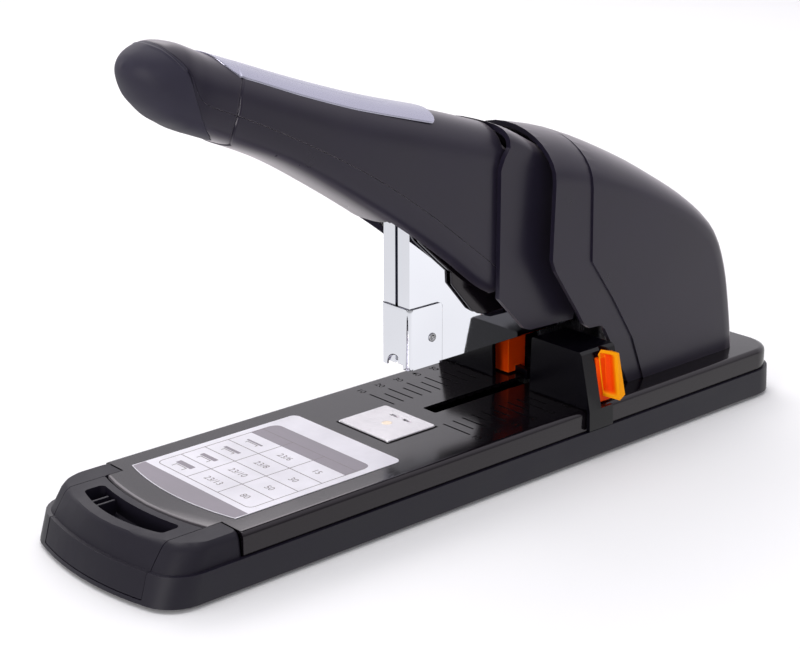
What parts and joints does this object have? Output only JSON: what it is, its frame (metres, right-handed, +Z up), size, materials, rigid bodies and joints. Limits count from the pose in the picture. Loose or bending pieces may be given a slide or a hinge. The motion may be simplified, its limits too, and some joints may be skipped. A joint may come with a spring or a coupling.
{
  "type": "heavy-duty stapler",
  "caption": "Bench stapler with a long lever handle, upright chromed head and magazine, flat steel deck, sliding depth guide with push latches, rear housing and a staple drawer in the nose.",
  "frame": {"origin": "centre of the overall box, on the surface the feet stand on", "axes": "+X to the rear, along the base; +Y to the left seen from the front user side looking rearwards; +Z up"},
  "size_m": [0.33, 0.0942, 0.1823],
  "materials": {
    "black_plastic": "fine satin texture",
    "soft_black": "smooth matt",
    "black_paint": "semi-gloss",
    "chrome": "polished",
    "steel": "zinc plated",
    "spring_steel": "bare",
    "orange_plastic": "glossy",
    "silver_plastic": "silver lacquer",
    "label_card": "printed film",
    "foot_rubber": "matt",
    "staple_wire": "galvanised"
  },
  "bodies": {
    "base": {"base_tray": "black_plastic", "rubber_feet": "foot_rubber", "base_screws": "steel", "deck_plate": "black_paint", "nose_cap": "black_plastic", "anvil_seat": "steel", "anvil_plate": "chrome", "anvil_rivet": "steel", "guide_table_label": "label_card", "rear_frame": "steel", "frame_screws": "steel", "rear_cover": "black_plastic", "cover_screws": "steel", "main_pivot_pin": "steel", "pivot_clips": "steel", "magazine_pin": "steel", "lift_spring": "spring_steel", "handle_spring": "spring_steel"},
    "drawer": {"staple_drawer": "black_plastic"},
    "guide": {"depth_guide": "black_plastic", "guide_keeper": "steel", "guide_screws": "steel", "latch_spring_left": "spring_steel", "latch_spring_right": "spring_steel"},
    "latch_left": {"latch_bar_left": "orange_plastic", "latch_button_left": "orange_plastic"},
    "latch_right": {"latch_bar_right": "orange_plastic", "latch_button_right": "orange_plastic"},
    "magazine": {"magazine_channel": "chrome", "head_block": "chrome", "head_rivets": "steel", "staple_rail": "steel", "staple_strip": "staple_wire", "pusher_spring": "spring_steel"},
    "pusher": {"staple_pusher": "black_plastic"},
    "driver": {"driver_blade": "steel", "driver_pin": "steel"},
    "handle": {"handle_upper": "black_plastic", "handle_lower": "black_plastic", "handle_tip": "soft_black", "handle_inlay": "silver_plastic", "handle_hood": "black_plastic", "handle_lever": "black_paint", "handle_screws": "steel"}
  },
  "joints": [
    {"name": "handle_press", "type": "hinge", "parent": "base", "child": "handle", "pos_m": [0.057, 0, 0.0993], "axis": [0, -1, 0], "range_deg": [0, 26], "stiffness_Nm_per_rad": 0.9, "springref_deg": -40.11, "deforming": ["handle_spring"]},
    {"name": "magazine_swing", "type": "hinge", "parent": "base", "child": "magazine", "pos_m": [0.131, 0, 0.0333], "axis": [0, -1, 0], "range_deg": [0, 8.2], "deforming": ["lift_spring"]},
    {"name": "driver_slide", "type": "slide", "parent": "magazine", "child": "driver", "axis": [0, 0, -1], "range_m": [0, 0.012]},
    {"name": "pusher_slide", "type": "slide", "parent": "magazine", "child": "pusher", "axis": [1, 0, 0], "range_m": [0, 0.06], "stiffness_N_per_m": 25, "springref_m": -0.04, "deforming": ["pusher_spring"]},
    {"name": "guide_slide", "type": "slide", "parent": "base", "child": "guide", "axis": [1, 0, 0], "range_m": [-0.051, 0.002]},
    {"name": "latch_left_press", "type": "slide", "parent": "guide", "child": "latch_left", "axis": [0, -1, 0], "range_m": [0, 0.001], "stiffness_N_per_m": 600, "springref_m": -0.002, "deforming": ["latch_spring_left"]},
    {"name": "latch_right_press", "type": "slide", "parent": "guide", "child": "latch_right", "axis": [0, 1, 0], "range_m": [0, 0.001], "stiffness_N_per_m": 600, "springref_m": -0.002, "deforming": ["latch_spring_right"]},
    {"name": "drawer_slide", "type": "slide", "parent": "base", "child": "drawer", "axis": [-1, 0, 0], "range_m": [0, 0.06]}
  ],
  "couplings": [
    {"joint": "magazine_swing", "follows": "handle_press", "ratio": 0.31537},
    {"joint": "driver_slide", "follows": "handle_press", "m_per_rad": 0.026443}
  ]
}
